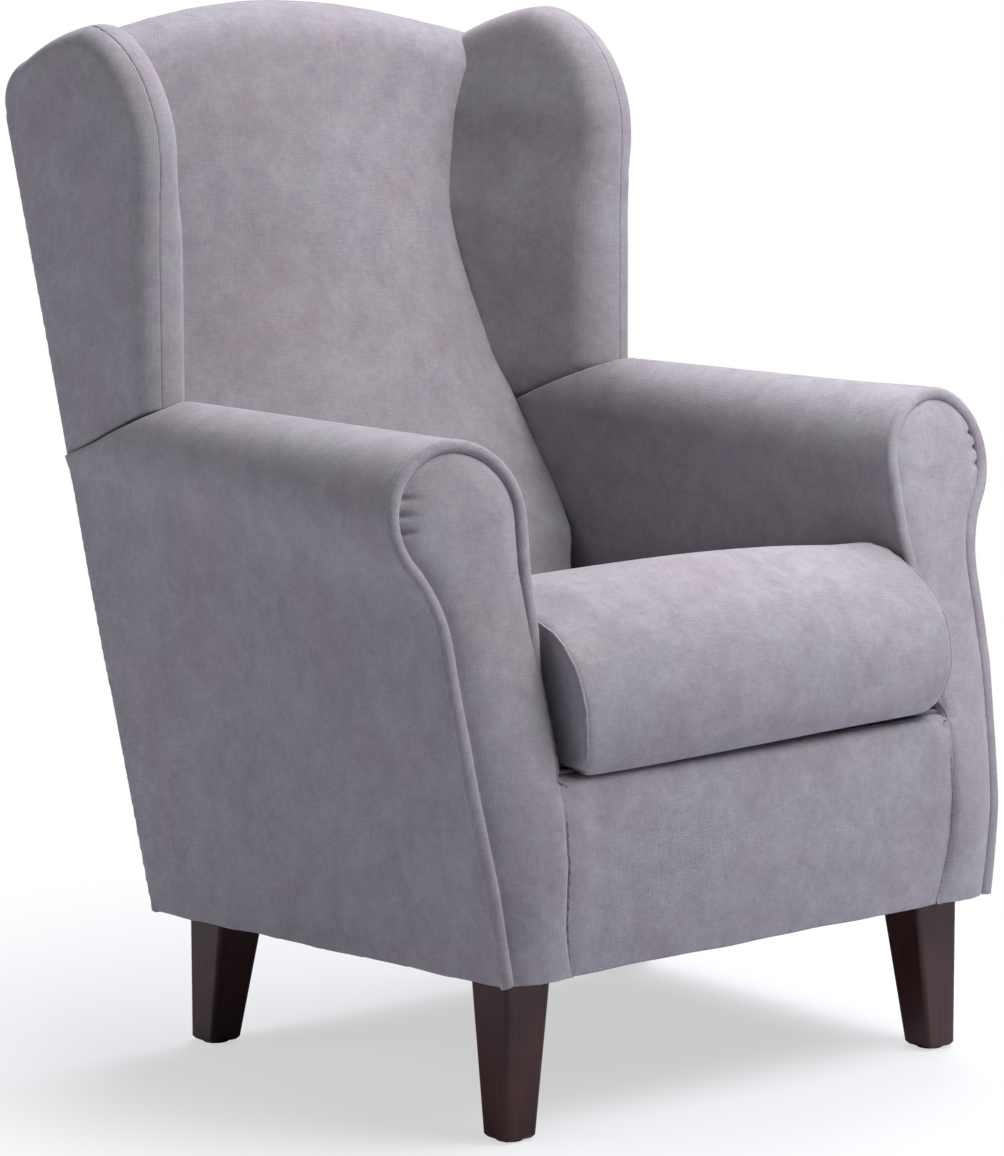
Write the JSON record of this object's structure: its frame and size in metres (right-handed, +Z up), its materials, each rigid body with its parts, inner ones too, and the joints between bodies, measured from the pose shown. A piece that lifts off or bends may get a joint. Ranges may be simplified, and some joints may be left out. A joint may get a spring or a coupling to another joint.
{
  "type": "wing armchair",
  "caption": "Upholstered wing armchair with rolled piped arms, a high padded back, side wings, a loose seat cushion and short tapered wooden legs; the cushion lifts out.",
  "frame": {"origin": "on the floor, under the middle of the chair's box", "axes": "+Z up, -Y the way the sitter faces, +X to the right of a viewer who faces the chair"},
  "size_m": [0.7608, 0.8586, 1.0333],
  "materials": {
    "upholstery": "soft woven, matt",
    "foam": "open cell, matt",
    "leg_wood": "dark satin lacquer",
    "frame_wood": "planed, bare",
    "steel": "zinc plated",
    "webbing": "woven strap",
    "deck_cloth": "plain lining over felt",
    "dust_cloth": "thin non-woven",
    "glide_plastic": "moulded",
    "zip_tape": "woven tape",
    "zip_metal": "enamelled"
  },
  "bodies": {
    "chair": {"arm_facing_left": "upholstery", "arm_facing_right": "upholstery", "arm_front_post_left": "frame_wood", "arm_front_post_right": "frame_wood", "arm_roll_pad_left": "upholstery", "arm_roll_pad_right": "upholstery", "arm_tack_rail_left": "frame_wood", "arm_tack_rail_right": "frame_wood", "arm_top_rail_left": "frame_wood", "arm_top_rail_right": "frame_wood", "arm_welt_left": "upholstery", "arm_welt_right": "upholstery", "back_post_left": "frame_wood", "back_post_right": "frame_wood", "corner_block_screws": "steel", "corner_blocks": "frame_wood", "crest_rail": "frame_wood", "cross_webbing": "webbing", "dust_cover": "dust_cloth", "front_apron": "upholstery", "front_leg_left": "leg_wood", "front_leg_right": "leg_wood", "front_rail": "frame_wood", "inside_arm_pad_left": "upholstery", "inside_arm_pad_right": "upholstery", "inside_back_pad": "upholstery", "inside_wing_pad_left": "upholstery", "inside_wing_pad_right": "upholstery", "leg_glides": "glide_plastic", "leg_hanger_bolts": "steel", "leg_tee_nuts": "steel", "lower_back_rail": "frame_wood", "outside_arm_panel_left": "upholstery", "outside_arm_panel_right": "upholstery", "outside_back_panel": "upholstery", "outside_wing_panel_left": "upholstery", "outside_wing_panel_right": "upholstery", "rear_leg_left": "leg_wood", "rear_leg_right": "leg_wood", "rear_rail": "frame_wood", "seat_deck": "deck_cloth", "seat_springs": "steel", "side_rail_left": "frame_wood", "side_rail_right": "frame_wood", "spring_clips": "steel", "upright_webbing": "webbing", "wing_board_left": "frame_wood", "wing_board_right": "frame_wood"},
    "seat_cushion": {"seat_cushion_cover": "upholstery", "seat_foam": "foam", "cushion_zip": "zip_tape"},
    "zip_slider": {"zip_slider": "zip_metal"}
  },
  "joints": [
    {"name": "cushion_lift_out", "type": "slide", "parent": "chair", "child": "seat_cushion", "axis": [0, -0.9781, 0.2079], "range_m": [0, 0.6]},
    {"name": "zip_run", "type": "slide", "parent": "seat_cushion", "child": "zip_slider", "axis": [-1, 0, 0], "range_m": [0, 0.352]}
  ]
}
